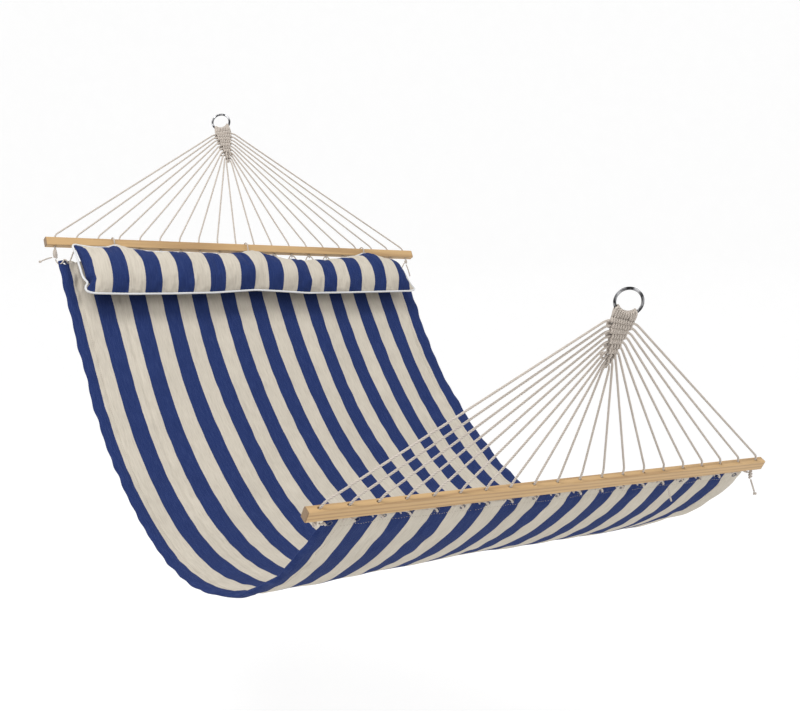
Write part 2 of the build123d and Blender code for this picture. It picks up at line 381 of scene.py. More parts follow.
def striped_cloth():
    """Fine plain weave in navy and natural stripes, with slubby yarn."""
    finish = Finish("striped_cloth", Sheen_Weight=0.02, Sheen_Roughness=0.5, Specular_IOR_Level=0.06)
    across, along, place = finish.cloth_place()
    wander = finish.noise(finish.stretched(place, (120.0, 260.0, 1.0)), 1.0, 1.0)
    edge = (across + (wander - 0.5) * 0.0016) * (math.pi / STRIPE)
    navy = (edge.cosine() * 20.0 + 0.5).clamped()
    heather = finish.noise(finish.stretched(place, (520.0, 900.0, 1.0)), 1.0, 3.0, 0.7)
    slub = finish.noise(finish.stretched(place, (420.0, 22.0, 1.0)), 1.0, 2.0, 0.6)
    cloud = finish.noise(place, 9.0, 3.0)
    fleck = ((heather - 0.47) * 3.6 + (slub - 0.5) * 1.2).clamped()
    dark = finish.mix(fleck, NAVY, NAVY_FLECK)
    pale = finish.mix(((slub - 0.42) * 2.2 + (heather - 0.5) * 1.6).clamped(), CREAM, CREAM_FLECK)
    colour = finish.mix(navy, pale, dark)
    colour = finish.mix(1.0, colour, finish.mix(cloud, DARKER, LIGHTER), "MULTIPLY")
    yarns = (across * (2 * math.pi / YARN)).sine() * (along * (2 * math.pi / YARN)).sine()
    crepe = finish.noise(finish.stretched(place, (70.0, 34.0, 1.0)), 1.0, 3.0, 0.6)
    first = finish.bump(crepe, 0.0022, 0.55)
    normal = finish.bump(yarns * 0.5 + slub * 0.8 + heather * 0.5, 0.0004, 0.7, under=first)
    return finish.give(Base_Color=colour, Roughness=0.86 + heather * 0.1, Normal=normal)


def natural_cord(name="natural_cord", shade_weave_creases=False):
    """Twisted cotton and polyester cord, with painted shade in the grooves between its strands. For a weave,
    painted shade also darkens it in the creases between the rows.
    """
    finish = Finish(name, Sheen_Weight=0.1, Sheen_Roughness=0.5, Specular_IOR_Level=0.25)
    round_cord, along, place = finish.cloth_place()
    # Painted shade: the colour runs from dark in the grooves between the strands to light on their crowns,
    # with fibre and yarn noise on top.
    crown = abs((round_cord * (STRANDS * math.pi)).cosine())
    yarn = (round_cord * 64.0 + along * 900.0).sine()
    fibre = finish.noise(finish.stretched(place, (30.0, 160.0, 1.0)), 1.0, 3.0, 0.6)
    soil = finish.noise(finish.solid_place(), 11.0, 2.0)
    depth = (crown * 0.85 + 0.2 + (fibre - 0.5) * 0.45 + yarn * 0.06).clamped()
    colour = finish.mix(depth, (0.270, 0.232, 0.200, 1.0), (0.640, 0.575, 0.515, 1.0))
    shade = finish.mix(soil, (0.88, 0.87, 0.85, 1.0), (1.06, 1.06, 1.06, 1.0))
    colour = finish.mix(1.0, colour, shade, "MULTIPLY")
    if shade_weave_creases:
        # Painted shade in the creases between the rows of the weave, from just below the ring downward.
        between = ((along - ROW_START) * (2 * math.pi / ROW_PITCH)).cosine() * -1.0
        crease_shade = (between * 1.6 - 0.75 + (fibre - 0.5) * 0.7).clamped()
        crease_shade = crease_shade * ((along - 0.032) * 200.0).clamped()
        colour = finish.mix(crease_shade * 0.68, colour, (0.100, 0.080, 0.064, 1.0))
    normal = finish.bump(fibre + yarn * 0.35, 0.0005, 0.7)
    return finish.give(Base_Color=colour, Roughness=0.84 + fibre * 0.12, Normal=normal)


def pine():
    """Light pine, clear lacquer, with grain along the bar and growth rings on its ends."""
    finish = Finish("pine", Coat_Roughness=0.35, Specular_IOR_Level=0.4)
    place = finish.solid_place((1.0, 0.045, 1.0))
    warp = finish.noise(place, 26.0, 3.0, 0.5)
    x, y, z = finish.apart(finish.solid_place())
    deep = (x * 0.9 + z * 0.55 + y * 0.012 + warp * 0.012) * 620.0
    ring = (deep.sine() * 0.5 + 0.5) ** 2.2
    fine = finish.noise(finish.solid_place((900.0, 9.0, 900.0)), 1.0, 3.0, 0.6)
    patch = finish.noise(finish.solid_place((14.0, 3.0, 14.0)), 1.0, 2.0)
    blush = finish.mix(patch, (0.435, 0.270, 0.118, 1.0), (0.545, 0.362, 0.172, 1.0))
    grain = (ring * 0.46 + (fine - 0.5) * 0.9).clamped()
    colour = finish.mix(grain, blush, (0.215, 0.115, 0.046, 1.0))
    # The bar's end faces are darkened: partly their darker end grain, partly painted shade.
    end_grain_and_shade = ((abs(y) - (BAR_HALF - 0.0025)) * 1000.0).clamped()
    colour = finish.mix(end_grain_and_shade * 0.85, colour, (0.165, 0.103, 0.055, 1.0))
    normal = finish.bump(fine * 0.7 + ring * 0.3, 0.00025, 0.5)
    return finish.give(Base_Color=colour, Roughness=0.42 + fine * 0.22,
                       Coat_Weight=0.15 + patch * 0.1, Normal=normal)


def polished_steel():
    """Bent wire, with dark and bright patches painted into its colour as reflections."""
    finish = Finish("polished_steel", Metallic=1.0, IOR=2.5)
    patch = finish.noise(finish.solid_place((1.0, 1.0, 0.6)), 62.0, 2.0, 0.5)
    reflection_patches = ((patch - 0.50) * 6.0 + 0.2).clamped()
    rub = finish.noise(finish.solid_place((900.0, 900.0, 120.0)), 1.0, 2.0)
    # Painted reflections: the base colour runs from black to bright in patches, standing in for the
    # surroundings mirrored in the wire.
    colour = finish.mix(reflection_patches, (0.022, 0.022, 0.024, 1.0), (0.42, 0.42, 0.43, 1.0))
    return finish.give(Base_Color=colour, Roughness=0.12 + reflection_patches * 0.10,
                       Normal=finish.bump(rub, 0.00005, 0.3))


def white_piping():
    """White cord in a twill cover."""
    finish = Finish("white_piping", Sheen_Weight=0.15, Specular_IOR_Level=0.25)
    round_cord, along, place = finish.cloth_place()
    twill = (round_cord * (12 * math.pi) + along * 2600.0).sine()
    fibre = finish.noise(finish.stretched(place, (20.0, 400.0, 1.0)), 1.0, 2.0)
    colour = finish.mix(fibre, (0.56, 0.56, 0.56, 1.0), (0.68, 0.69, 0.70, 1.0))
    return finish.give(Base_Color=colour, Roughness=0.8 + fibre * 0.1,
                       Normal=finish.bump(twill * 0.5 + fibre, 0.0003, 0.6))


def thread(name, colour):
    """Sewing thread."""
    finish = Finish(name, Sheen_Weight=0.1, Specular_IOR_Level=0.25)
    fibre = finish.noise(finish.solid_place(), 1500.0, 2.0)
    dark = tuple(c * 0.7 for c in colour[:3]) + (1.0,)
    return finish.give(Base_Color=finish.mix(fibre, dark, colour), Roughness=0.8 + fibre * 0.15,
                       Normal=finish.bump(fibre, 0.0002, 0.5))


CLOTH, CORD_YARN, PINE = striped_cloth(), natural_cord(), pine()
STEEL, PIPING = polished_steel(), white_piping()
# The weave's cord, with painted shade in the creases between its rows.
WEAVE_YARN = natural_cord("woven_cord", shade_weave_creases=True)
# Thread in a tan darker than the cloth, so the sewn lines show as dark lines along the seams.
THREAD = thread("hem_thread", (0.40, 0.35, 0.28, 1.0))
EYELET = thread("eyelet_thread", (0.10, 0.11, 0.17, 1.0))


# ---------------------------------------------------------------- stage, lights and camera
FLOOR = -1.95
LAMPS = {
    "key": ((2.2, -2.6, 3.2), (1.0, 0.0, -0.9), 2.6, 150.0),
    "fill": ((4.6, 1.6, 1.6), (1.0, 0.0, -0.8), 3.0, 40.0),
    "back": ((-2.2, 1.2, 2.2), (1.0, 0.0, -0.8), 2.4, 30.0),
}
EYE = (3.787, -1.822, -0.693)
SIGHT = (-0.8235, 0.5664, -0.0356)


def backdrop():
    """Pale floor that curves up into a far wall."""
    shape = Shape()
    radius = np.array([0.001, 4.0, 12.0, 30.0, 36.0, 38.0])
    height = np.array([0.0, 0.0, 0.0, 0.0, 3.0, 27.0]) + FLOOR
    turn = np.linspace(0, 2 * math.pi, 49)
    net = np.stack([radius[:, None] * np.cos(turn) + 1.0, radius[:, None] * np.sin(turn),
                    height[:, None] + turn * 0], 2)
    shape.grid(net, np.arange(49) * 1.0, radius)
    finish = Finish("pale_floor", Roughness=0.95, Emission_Strength=0.70,
                    Emission_Color=(1.0, 1.0, 1.0, 1.0))
    dust = finish.noise(finish.solid_place(), 3.0, 3.0)
    colour = finish.mix(dust, (0.34, 0.34, 0.34, 1.0), (0.38, 0.38, 0.38, 1.0))
    shape.make("pale_floor", finish.give(Base_Color=colour))


def lamp(name, place, aim, size, power):
    """Round soft lamp."""
    data = bpy.data.lights.new(name, "AREA")
    data.shape, data.size, data.energy = "DISK", size, power
    thing = bpy.data.objects.new(name, data)
    thing.location = place
    thing.rotation_euler = (Vector(aim) - Vector(place)).to_track_quat("-Z", "Y").to_euler()
    bpy.context.scene.collection.objects.link(thing)


def studio():
    backdrop()
    world = bpy.data.worlds.new("studio")
    world.use_nodes = True
    world.node_tree.nodes["Background"].inputs[0].default_value = (1.0, 1.0, 1.0, 1.0)
    world.node_tree.nodes["Background"].inputs[1].default_value = 0.58
    bpy.context.scene.world = world
    for name, facts in LAMPS.items():
        lamp(name, *facts)
    bpy.context.scene.view_settings.view_transform = "Standard"

    camera = bpy.data.cameras.new("camera")
    camera.sensor_width, camera.lens = 36.0, 51.53
    camera.clip_end = 200.0
    eye = bpy.data.objects.new("camera", camera)
    forward = Vector(SIGHT).normalized()
    right = forward.cross(Vector((0, 0, 1))).normalized()
    up = right.cross(forward)
    turned = Matrix((right, up, -forward)).transposed().to_4x4()
    eye.matrix_world = Matrix.Translation(EYE) @ turned
    bpy.context.scene.collection.objects.link(eye)
    bpy.context.scene.camera = eye


studio()


# ---------------------------------------------------------------- clews
WEAVE_TOP, WEAVE_TIP = 0.060, 0.010           # widths of a weave
LOOP = 0.0063                 # from the middle of the ring's wire to the middle of a loop's cord
WARP = 0.0060                 # thickness of the weave's own cords
RING_TWIST = ((0.036, 0.046, 0.070, 0.110, 0.150), (34.0, 22.0, 13.0, 4.0, 0.0))


def weave_half_width(down):
    share = (down - 0.034) / (ROW_START + (ROWS - 1) * ROW_PITCH - 0.034)
    return (WEAVE_TOP + (WEAVE_TIP - WEAVE_TOP) * share) / 2


def clew_axes(pull, down):
    """Sideways and outward directions of a clew, which twists from its turned ring to the bar's line."""
    turn = math.radians(np.interp(down, *RING_TWIST))
    sideways = Y * math.cos(turn) - Y.cross(pull) * math.sin(turn)
    return sideways, sideways.cross(pull)


def clew_cord(end, ring, pull, bar, down, row):
    """One cord: out of its left hole, across its row of the weave, and into its right hole."""
    from_ring = ROW_START + (row - 1) * ROW_PITCH
    sideways = clew_axes(pull, from_ring)[0]
    halves = []
    for hole, side in ((row, -1), (HOLES + 1 - row, 1)):
        spot = bar + Y * hole_y(hole)
        mouth = spot - down * (BAR_DEPTH / 2 + MOUTH)
        edge = ring + pull * from_ring + sideways * (side * (weave_half_width(from_ring) + 0.004))
        leg = (edge - mouth).normalized()
        halves.append([spot + down * 0.012, mouth, mouth + leg * 0.036, edge - leg * 0.034, edge])
    name = f"{end}_clew_cord_{row:02d}"
    declare(name + "_rope", halves[0] + halves[1][::-1], CORD, name,
            twist=0.019, step=0.0024)


def weave(end, ring, pull):
    """Loops round the ring that carry on as warps, over and under the ten rows."""
    shape = Shape()

    def at(x, y, z):
        sideways, out = clew_axes(pull, y)
        return ring + sideways * x + pull * y + out * z

    wire, middle = RING_WIRE_CENTRE, (ROWS - 1) / 2
    step = CORD / (wire - LOOP) * 0.80
    over = ((wire, -LOOP), (wire - LOOP * 0.9, -LOOP * 0.9), (wire - LOOP * 1.05, 0.0),
            (wire - LOOP * 0.9, LOOP * 0.9), (wire, LOOP))
    for loop in range(ROWS):
        angle = (loop - middle) * step
        from_side = min(loop, ROWS - 1 - loop)
        top = [at(reach * math.sin(angle), reach * math.cos(angle), z) for reach, z in over]
        below_wire = wire * math.cos(angle) + 0.010
        x_top = wire * math.sin(angle) * 1.02
        legs = []
        for face, last_row in ((-1, 2 * from_side + 2), (1, 2 * from_side + 1)):
            points = []
            for row in range(1, last_row + 1):
                y = ROW_START + (row - 1) * ROW_PITCH
                outermost = max(middle - math.ceil((row - 1) / 2), 0.5)
                x_row = (weave_half_width(y) - 0.0028) * (loop - middle) / outermost + 0.0014 * face
                z = LOOP * face * (-1) ** (row + 1)
                if row == 1 and below_wire < y - 0.008:
                    share = (below_wire + 0.008) / y * 0.6
                    points.append(at(x_top + (x_row - x_top) * share, below_wire + 0.006, face * 0.0060))
                if row == 1:
                    points.append(at(x_row, y - 0.0068, face * 0.0030))
                points += [at(x_row, y - 0.0034, z), at(x_row, y + 0.0034, z)]
                if row < last_row:
                    points.append(at(x_row, y + ROW_PITCH / 2, 0.0))
            points.append(at(x_row * 0.9, y + 0.008, 0.0))
            legs.append(points)
        rope(shape, legs[0][::-1] + top + legs[1], WARP, lay=0.016, step=0.0015,
             depth=lambda line: (line - np.array(ring)) @ np.array(pull))
    thing = shape.make(f"{end}_clew_weave_cords", WEAVE_YARN)
    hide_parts(f"{end}_clew_weave", f"{end}_ring_loops")
    tuple(at(0, 0.031, 0))
    tuple(at(0, 0.049, 0))
    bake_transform(thing)


ENDS = {
    "head": (HEAD_RING, HEAD_PULL, HEAD_BAR, HEAD_DOWN),
    "foot": (FOOT_RING, FOOT_PULL, FOOT_BAR, FOOT_DOWN),
}
for end_name, (ring_at, pull_at, bar_at, down_at) in ENDS.items():
    weave(end_name, ring_at, pull_at)
    for cord_row in range(1, ROWS + 1):
        clew_cord(end_name, ring_at, pull_at, bar_at, down_at, cord_row)


# ---------------------------------------------------------------- bed
def sag_curve():
    """Middle of the quilt: points, directions and distances from the head hem."""
    t = np.linspace(0, 1, 801)[:, None]
    s = 1 - t
    a, b, c, d = [np.array(p) for p in SAG]
    line = a * s**3 + b * 3 * s * s * t + c * 3 * s * t * t + d * t**3
    ahead = (b - a) * s * s + (c - b) * 2 * s * t + (d - c) * t * t
    ahead /= np.linalg.norm(ahead, axis=1)[:, None]
    far = np.concatenate([[0.0], np.cumsum(np.linalg.norm(np.diff(line, axis=0), axis=1))])
    return line, ahead, far


SAG_LINE, SAG_AHEAD, SAG_FAR = sag_curve()
BED_LENGTH = float(SAG_FAR[-1])
LEFT_SIDE, RIGHT_SIDE = -0.6535, 0.6600
LEFT_EDGE = ((0.0, 0.10, 0.25, 0.40, 0.90, 1.90, 2.03),
             (-0.665, -0.663, -0.656, -0.652, -0.649, -0.651, -0.643))
RIGHT_EDGE = ((0.0, 0.12, 0.50, 1.90, 2.03), (0.650, 0.659, 0.663, 0.660, 0.648))
SIDE_SEAM = 0.606             # sewn lines beside the long edges, from the middle of the bed
HEM_SEAM = 0.026              # sewn lines across the hems, from the hem's edge
FOLDS = ((-0.483, 0.0034, 0.0045), (-0.268, 0.0010, 0.005), (-0.170, 0.0009, 0.005),
         (0.160, 0.0008, 0.005), (0.483, 0.0012, 0.004))            # place, depth, width


def ripple(across, along, size, seed, directions=7):
    """Smooth uneven waves between about -1 and 1, the same on every run."""
    dice = np.random.default_rng(seed)
    total = np.zeros(np.broadcast(across, along).shape)
    for _ in range(directions):
        angle = dice.uniform(0, math.pi)
        pitch = size * dice.uniform(0.7, 1.7)
        phase = dice.uniform(0, 2 * math.pi)
        total = total + np.sin((across * math.cos(angle) + along * math.sin(angle)) * 2 * math.pi / pitch
                               + phase)
    return total / math.sqrt(directions) * 0.8


def step_up(value, low, high):
    """Smooth step from 0 to 1."""
    share = np.clip((value - low) / (high - low), 0, 1)
    return share * share * (3 - 2 * share)


def bell(value, width):
    return np.exp(-((value / width) ** 2))


def rounded(reach, radius, least):
    """Share of the full thickness near a rounded edge."""
    return np.sqrt(np.clip(1 - (1 - np.clip(reach / radius, 0, 1)) ** 2, least, 1))


def bed_points(across, along, face):
    """Cloth of the bed at distances across and along it, on its top (1) or underside (-1)."""
    across, along = np.broadcast_arrays(np.asarray(across, float), np.asarray(along, float))
    near_hem = np.minimum(along, BED_LENGTH - along)
    scallop = 0.0065 * (1 - np.abs(np.cos(math.pi * across / HOLE_PITCH)) ** 0.7)
    scallop = scallop * (1 - step_up(near_hem, 0.0, 0.055))
    where = np.clip(along + np.where(along < BED_LENGTH / 2, scallop, -scallop), 0, BED_LENGTH)
    line, ahead = [np.stack([np.interp(where, SAG_FAR, table[:, k]) for k in range(3)], -1)
                   for table in (SAG_LINE, SAG_AHEAD)]
    top = np.stack([-ahead[..., 2], ahead[..., 1] * 0, ahead[..., 0]], -1)
    # the bed hangs lower on its left than on its right
    hump = np.sin(math.pi * np.clip(along / BED_LENGTH, 0, 1)) ** 1.4
    lift = hump * (-0.010 + 0.028 * step_up(across, -0.66, 0.05))
    lift = lift + 0.011 * bell(BED_LENGTH - along - 0.34, 0.17) * step_up(across, 0.25, 0.66)
    low_side = bell(BED_LENGTH - along - 0.62, 0.36) * step_up(across, -0.30, 0.25)
    lift = lift + 0.009 * low_side * step_up(near_hem, 0.0, 0.2)
    # long edges wander
    outer = step_up(np.abs(across), 0.60, 0.655)
    left, right = np.interp(along, *LEFT_EDGE) - LEFT_SIDE, np.interp(along, *RIGHT_EDGE) - RIGHT_SIDE
    side = across + np.where(across < 0, left, right) * step_up(np.abs(across), 0.40, 0.655)
    side = side + np.sign(across) * 0.00176 * ripple(along, across * 0, 0.085, 11, 5) * outer
    # thickness: flat at the hems, pinched at the sewn lines and folds, full in the rolled edges
    edge = np.abs(across) - SIDE_SEAM
    on_left = across < 0
    half = 0.0046 + 0.0007 * ripple(across, along, 0.11, 5)
    half = half - 0.0021 * bell(edge, 0.0045) * (1 + 0.4 * np.exp(-along / 0.3) * on_left)
    half = half + 0.0026 * bell(edge - 0.030, 0.015)
    for fold, depth, width in FOLDS:
        half = half - depth * bell(across - fold, width) * step_up(near_hem, 0.03, 0.1)
    half = half * (1 - 0.42 * (1 - step_up(near_hem, 0.020, 0.050)))
    half = half - 0.0010 * bell(near_hem - HEM_SEAM, 0.003)
    # both faces move together in waves and puckers
    swell = 0.0042 * ripple(across, along * 0.55, 0.34, 2) * step_up(near_hem, 0.0, 0.12)
    swell = swell + 0.0012 * ripple(across, along, 0.10, 3)
    swell = swell + 0.0016 * np.cos(4 * math.pi * across / HOLE_PITCH) * np.exp(-near_hem / 0.045)
    pucker = bell(edge, 0.016) * ripple(along, across * 2.0, 0.045, 7, 5)
    swell = swell + 0.0013 * pucker * (1 + 2.4 * np.exp(-along / 0.28) * on_left)
    swell = swell + outer * 0.0022 * ripple(along, across * 0, 0.12, 9, 5)
    reach = np.where(on_left, across - LEFT_SIDE, RIGHT_SIDE - across)
    height = swell + face * half * rounded(reach, 0.010, 0) * rounded(near_hem, 0.0034, 0.02)
    points = line + top * height[..., None]
    points[..., 1] = side
    points[..., 2] += lift
    return points


# distances across the bed, and the places in the cloth's stripes that they show
TOP_STRIPES = ((-0.660, -0.621, -0.565, -0.300, 0.700), (-0.642, -0.6118, -0.5586, -0.2992, 0.699))
UNDER_STRIPES = ((-0.670, -0.643, 0.571, 0.640, 0.700), (-0.6384, -0.6384, 0.6384, 0.705, 0.712))
SIDE_ROUND = (0.0, 0.0004, 0.0014, 0.0030, 0.0052, 0.0080)
EYELET_CUT = 0.0051           # radius of an eyelet's opening in the cloth
EYELET_BEAD = ((0.0049, -0.4), (0.0050, 0.5), (0.0058, 1.0), (0.0064, 0.9), (0.0070, 0.1))
AROUND = ((-1, -1), (-1, 0), (-1, 1), (0, 1), (1, 1), (1, 0), (1, -1), (0, -1))


def bed():
    """The quilt as one closed sheet with open eyelets in both hems."""
    right = RIGHT_SIDE - np.array([*SIDE_ROUND, 0.0125, 0.0165])
    across = np.concatenate([LEFT_SIDE + np.array(SIDE_ROUND), np.arange(-127, 128) * HOLE_PITCH / 14,
                             right[::-1]])
    rows = round(BED_LENGTH / 0.006)
    step = BED_LENGTH / rows
    close = np.array([0.0, 0.0009, 0.0026])
    along = np.concatenate([close, np.arange(1, rows) * step, (BED_LENGTH - close)[::-1]])
    count, columns = len(along), len(across)
    a = np.broadcast_to(across, (count, columns)).copy()
    s = np.broadcast_to(along[:, None], (count, columns)).copy()
    skip = np.zeros((count - 1, columns - 1), bool)
    holes = []
    for number in range(1, HOLES):
        column = int(np.argmin(np.abs(across - eyelet_y(number))))
        for place in (2 * step, BED_LENGTH - 2 * step):
            row = int(np.argmin(np.abs(along - place)))
            skip[row - 1:row + 1, column - 1:column + 1] = True
            holes.append((row, column))
    for row, column in holes:
        for r, c in AROUND:
            share = EYELET_CUT / math.hypot(r, c)
            s[row + r, column + c] = along[row] + r * share
            a[row + r, column + c] = across[column] + c * share
    shape = Shape()
    upper, under = [np.interp(across, *table) for table in (TOP_STRIPES, UNDER_STRIPES)]
    top = shape.grid(bed_points(a, s, 1), upper, along, skip=skip)
    low = shape.grid(bed_points(a, s, -1), under, along, skip=skip, flip=True)

    def wall(here, after, place):
        """A face that joins the two cloths at an edge."""
        shape.face([top + here, top + after, low + after, low + here], [place] * 4)

    for column in (0, columns - 1):
        for r in range(count - 1):
            wall(r * columns + column, (r + 1) * columns + column, (float(upper[column]), along[r]))
    for row in (0, count - 1):
        for c in range(columns - 1):
            wall(row * columns + c, row * columns + c + 1, (under[c], along[row]))
    for row, column in holes:
        loop = [(row + r) * columns + column + c for r, c in AROUND]
        for here, after in zip(loop, loop[1:] + loop[:1]):
            wall(here, after, (float(under[column]), float(along[row])))
    thing = shape.make("quilted_bed", CLOTH)
    face_outward(thing)
    ride(thing, "hammock", "striped_cloth", "bed_top_cloth", "bed_wadding", "bed_under_cloth")
    return thing, step


STITCH = 0.0006               # radius of a sewing stitch
STITCH_GAP = 0.0072
STITCH_LENGTH = 0.0046
STITCH_ROWS = ((0.0, 0.3, -0.2), (0.2, 0.95, 0.6), (0.5, 1.0, 0.9), (0.8, 0.95, 0.6), (1.0, 0.3, -0.2))


def stitch(shape, start, end, lift):
    """One raised stitch of thread between two points."""
    ahead = (end - start) / np.linalg.norm(end - start)
    side = np.cross(ahead, lift)
    side = side / np.linalg.norm(side)
    turn = np.arange(6)[:, None] * math.pi / 3
    rows = []
    for share, swell, rise in STITCH_ROWS:
        centre = start + (end - start) * share + lift * STITCH * rise
        rows.append(centre + (side * np.cos(turn) + lift * np.sin(turn)) * STITCH * swell)
    shape.grid(np.array(rows), np.arange(7) / 6, np.arange(5) * 0.001, around=True)


def bed_sewing():
    """Stitches beside the long edges and across the hems."""
    shape = Shape()
    down = np.arange(0.03, BED_LENGTH - 0.03, STITCH_GAP)
    over = np.arange(-0.60, 0.60, STITCH_GAP)
    lines = [(side, down, 0.0, STITCH_LENGTH) for side in (-SIDE_SEAM, SIDE_SEAM)]
    lines += [(over, row, STITCH_LENGTH, 0.0) for row in (HEM_SEAM, BED_LENGTH - HEM_SEAM)]
    for face in (1, -1):
        for a, s, da, ds in lines:
            here, there = bed_points(a, s, face), bed_points(a + da, s + ds, face)
            beside = bed_points(a + (0.001 if ds else 0.0), s + (0.0 if ds else 0.001), face)
            for p, q, b in zip(here, there, beside):
                lift = np.cross(q - p, b - p)
                lift = lift / np.linalg.norm(lift)
                stitch(shape, p, q, -lift if (lift[0] + lift[2]) * face < 0 else lift)
    return ride(shape.make("bed_stitching", THREAD), "hammock", "natural_cord")


def bed_eyelets(step):
    """Eyelets bound with dark thread, on both faces of both hems."""
    shape = Shape()
    turn = np.linspace(0, 2 * math.pi, 33)[:-1]
    for number in range(1, HOLES):
        a = eyelet_y(number)
        for row in (2 * step, BED_LENGTH - 2 * step):
            middle = bed_points(a, row, 1) * 0.5 + bed_points(a, row, -1) * 0.5
            for face in (1, -1):
                facing = bed_points(a, row, face) - middle
                facing = facing / np.linalg.norm(facing)
                net = []
                for reach, rise in EYELET_BEAD:
                    bead = 0.00035 * (np.cos(turn * 16) * (rise > 0))
                    base = bed_points(a + np.cos(turn) * reach, row + np.sin(turn) * reach, face)
                    net.append(base + facing * (0.0009 * rise + bead)[:, None])
                shape.grid(np.array(net), np.arange(33) / 32, np.arange(5) * 0.001, around=True,
                           flip=face > 0)
    return ride(shape.make("bed_eyelets", EYELET), "hammock", "striped_cloth")


bed_piece, bed_step = bed()
bed_thread, bed_rings = bed_sewing(), bed_eyelets(bed_step)


# ---------------------------------------------------------------- lacing, tails and knots
def hem_frame(name):
    """A hem's middle, the way into the bed and the way out of its underside."""
    head = name == "head"
    ahead = (SAG[1] - SAG[0] if head else SAG[3] - SAG[2]).normalized()
    return SAG[0 if head else 3], ahead if head else -ahead, Vector((ahead.z, 0, -ahead.x))


def under_hole(bar, down, number):
    return bar + down * UNDER_HOLE + Y * hole_y(number)


def millimetres(*numbers):
    return Vector(numbers) * 0.001


HEAD_LEFT, HEAD_RIGHT = under_hole(HEAD_BAR, HEAD_DOWN, 1), under_hole(HEAD_BAR, HEAD_DOWN, HOLES)
FOOT_LEFT, FOOT_RIGHT = under_hole(FOOT_BAR, FOOT_DOWN, 1), under_hole(FOOT_BAR, FOOT_DOWN, HOLES)
LACING_ENDS = {
    "head": ([HEAD_LEFT + millimetres(0, 1, -38), HEAD_LEFT + millimetres(6, 6, -55),
              HEAD_LEFT + millimetres(23, 15, -51)],
             [HEAD_RIGHT + millimetres(6, -16, -24), HEAD_RIGHT + millimetres(2, -8, -16)]),
    "foot": ([FOOT_LEFT + millimetres(0, 9, -8), FOOT_LEFT + millimetres(4, 16, -12)],
             [FOOT_RIGHT + millimetres(-6, -16, -8), FOOT_RIGHT + millimetres(0, -9, -8)]),
}


def lacing(name):
    """One cord, up and down between the bar's holes and the hem's eyelets."""
    _, _, bar, down = ENDS[name]
    edge, into, under = hem_frame(name)
    front = under * (-1 if name == "head" else 1)
    clear = 0.0090
    first, last = LACING_ENDS[name]
    points = list(first)
    for number in range(1, HOLES):
        y = Y * eyelet_y(number)
        lip, eyelet = edge - into * 0.002 + y, edge + into * 0.012 + y
        if number > 1:
            apex = bar + down * (UNDER_HOLE + LACING / 2 + 0.0004) + Y * hole_y(number)
            points += [apex - Y * 0.009, apex, apex + Y * 0.009]
        points += [lip + front * clear - Y * 0.012, eyelet + front * (clear + 0.001) - Y * 0.001,
                   eyelet - front * (clear + 0.001) + Y * 0.001, lip - front * clear + Y * 0.012]
    declare(f"{name}_lacing_cord", points + list(last), LACING, f"{name}_lacing")


def hole_loops(name):
    """The doubled ends of the clew cords, hooked round the lacing under each hole."""
    _, _, bar, down = ENDS[name]
    shape = Shape()
    out = square_to(down)
    for number in range(2, HOLES):
        spot = bar + Y * hole_y(number)
        lean = 0.0006 * math.sin(number * 2.3)
        route = [(0.0, -0.0022, 0.010), (0.0004, -0.0022, 0.0165), (0.0032, -0.0030, 0.0215),
                 (0.0030, lean, 0.0258), (-0.0030, lean, 0.0258), (-0.0032, 0.0030, 0.0215),
                 (-0.0004, 0.0022, 0.0165), (0.0, 0.0022, 0.010)]
        rope(shape, [spot + out * x + Y * y + down * z for x, y, z in route], 0.0036, lay=0.011,
             step=0.0012, corners=9)
    ride(shape.make(f"{name}_hole_loops", CORD_YARN), "hammock", "natural_cord")


def wound_knot(shape, centre, height, reach, turns, tilt=0.0, diameter=0.0052):
    """A drawn-up knot, wound round itself, with one crossing turn over the top."""
    tilted = Matrix.Rotation(math.radians(tilt), 3, "X")
    points = []
    steps = int(turns * 8)
    for k in range(steps + 1):
        share = k / steps
        angle = share * turns * 2 * math.pi
        swell = reach * (0.75 + 0.25 * math.sin(math.pi * share))
        rise = (0.5 - share) * (height - diameter)
        points.append((math.cos(angle) * swell, math.sin(angle) * swell, rise))
    points += [(reach * 0.9, -reach * 0.5, 0.0), (reach * 0.3, -reach * 0.9, height * 0.35),
               (0.0, 0.0, height * 0.5)]
    rope(shape, [centre + tilted @ Vector(point) for point in points], diameter, lay=0.014, step=0.0011)


def overhand_bead(shape, centre):
    """A small overhand knot, drawn tight."""
    points = []
    for k in range(25):
        t = 2 * math.pi * k / 24
        knot = Vector((math.sin(t) + 2 * math.sin(2 * t), math.cos(t) - 2 * math.cos(2 * t),
                       -1.6 * math.sin(3 * t)))
        points.append(centre + knot * 0.0011)
    rope(shape, points, 0.0046, lay=0.012, step=0.0010)


def knots():
    """Stopper knots under the outer holes, their doubled necks, and the knots on two tails."""
    shape = Shape()
    wound_knot(shape, HEAD_LEFT + millimetres(0, 0, -22), 0.029, 0.0050, 4.4, tilt=6.0, diameter=0.0060)
    wound_knot(shape, HEAD_RIGHT + millimetres(0, 0, -11), 0.015, 0.0040, 2.2)
    wound_knot(shape, FOOT_LEFT + millimetres(0, 0, -9), 0.013, 0.0038, 2.0)
    wound_knot(shape, FOOT_RIGHT + millimetres(0, 0, -15), 0.024, 0.0040, 2.8)
    overhand_bead(shape, HEAD_LEFT + millimetres(2, -47.5, -46.5))
    overhand_bead(shape, FOOT_RIGHT + millimetres(2, 16, -67))
    for corner, down, drop in ((HEAD_LEFT, HEAD_DOWN, -12), (HEAD_RIGHT, HEAD_DOWN, -6),
                               (FOOT_LEFT, FOOT_DOWN, -5), (FOOT_RIGHT, FOOT_DOWN, -6)):
        for side in (-1.7, 1.7):
            beside = millimetres(0, side, 0)
            rope(shape, [corner - down * 0.010 + beside, corner + beside * 0.8,
                         corner + millimetres(0, side, drop)], 0.0042, lay=0.012, step=0.0012)
    ride(shape.make("corner_knots", CORD_YARN), "hammock", "natural_cord", "stopper_knots")


